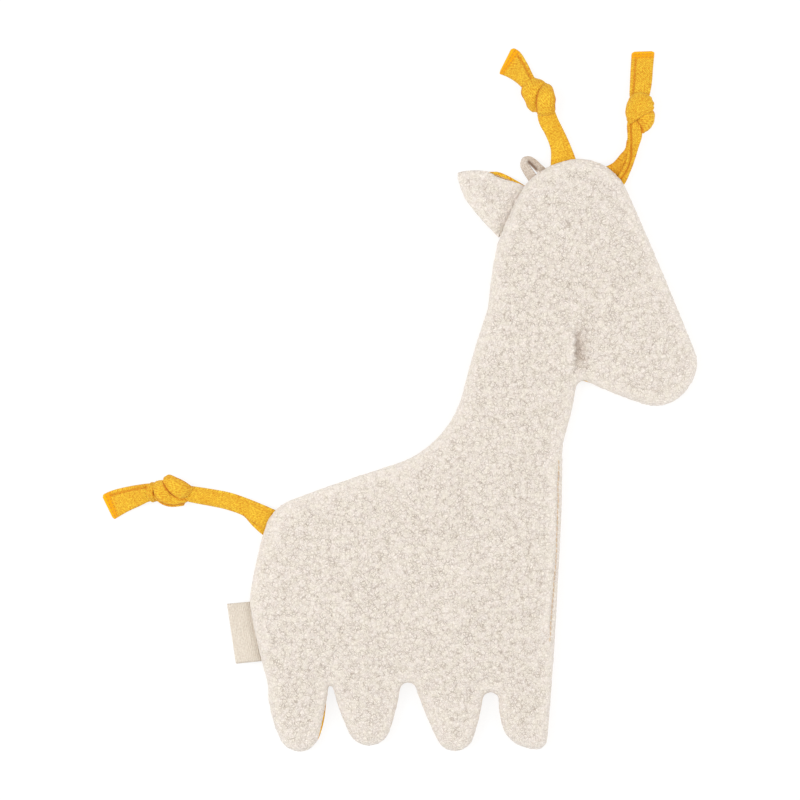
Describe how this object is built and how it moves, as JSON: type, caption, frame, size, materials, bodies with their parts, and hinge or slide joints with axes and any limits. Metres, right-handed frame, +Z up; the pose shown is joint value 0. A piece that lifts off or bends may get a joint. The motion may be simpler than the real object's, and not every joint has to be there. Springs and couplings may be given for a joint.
{
  "type": "crinkle comforter",
  "caption": "Flat giraffe-shaped cloth comforter with crackling film inside; knotted strap horns and tail, ear, hanging loop and side tag fold about the seam they are sewn into.",
  "frame": {"origin": "centre of the footprint's bounding box, on the surface that the comforter lies on", "axes": "+Z up out of the boucle back, +Y from the feet to the horns, +X from the tail to the snout"},
  "size_m": [0.2482, 0.2938, 0.0106],
  "materials": {
    "oat_boucle": "curly boucle pile, oatmeal melange",
    "mustard_jersey": "matt cotton jersey",
    "mustard_thread": "spun sewing thread",
    "tan_thread": "spun sewing thread",
    "wadding": "soft fibre fleece",
    "crinkle_film": "thin crackling film",
    "taupe_tape": "narrow cotton tape",
    "cream_tape": "woven twill tape"
  },
  "bodies": {
    "body": {"front_panel": "mustard_jersey", "crinkle_film": "crinkle_film", "wadding": "wadding", "back_panel": "oat_boucle", "perimeter_seam": "tan_thread", "closing_stitch": "tan_thread"},
    "rear_horn": {"rear_horn": "mustard_jersey", "rear_horn_stitching": "mustard_thread"},
    "front_horn": {"front_horn": "mustard_jersey", "front_horn_stitching": "mustard_thread"},
    "tail": {"tail": "mustard_jersey", "tail_stitching": "mustard_thread"},
    "ear": {"ear_back": "oat_boucle", "ear_lining": "mustard_jersey", "ear_seam": "tan_thread"},
    "loop": {"hanging_loop": "taupe_tape"},
    "label": {"side_label": "cream_tape"}
  },
  "joints": [
    {"name": "rear_horn_fold", "type": "hinge", "parent": "body", "child": "rear_horn", "pos_m": [0.06785, 0.10129, 0.00285], "axis": [0.9598, 0.2807, 0], "range_deg": [-90, 90]},
    {"name": "front_horn_fold", "type": "hinge", "parent": "body", "child": "front_horn", "pos_m": [0.09149, 0.09617, 0.00285], "axis": [0.7253, -0.6885, 0], "range_deg": [-90, 90]},
    {"name": "tail_fold", "type": "hinge", "parent": "body", "child": "tail", "pos_m": [-0.05849, -0.05099, 0.00285], "axis": [0.3144, 0.9493, 0], "range_deg": [-90, 90]},
    {"name": "ear_fold", "type": "hinge", "parent": "body", "child": "ear", "pos_m": [0.04296, 0.08095, 0.00285], "axis": [0.4235, 0.9059, 0], "range_deg": [-90, 90]},
    {"name": "loop_fold", "type": "hinge", "parent": "body", "child": "loop", "pos_m": [0.0571, 0.09627, 0.00285], "axis": [0.8671, 0.4981, 0], "range_deg": [-90, 90]},
    {"name": "label_fold", "type": "hinge", "parent": "body", "child": "label", "pos_m": [-0.06262, -0.09739, 0.00285], "axis": [-0.1874, 0.9823, 0], "range_deg": [-90, 90]}
  ]
}
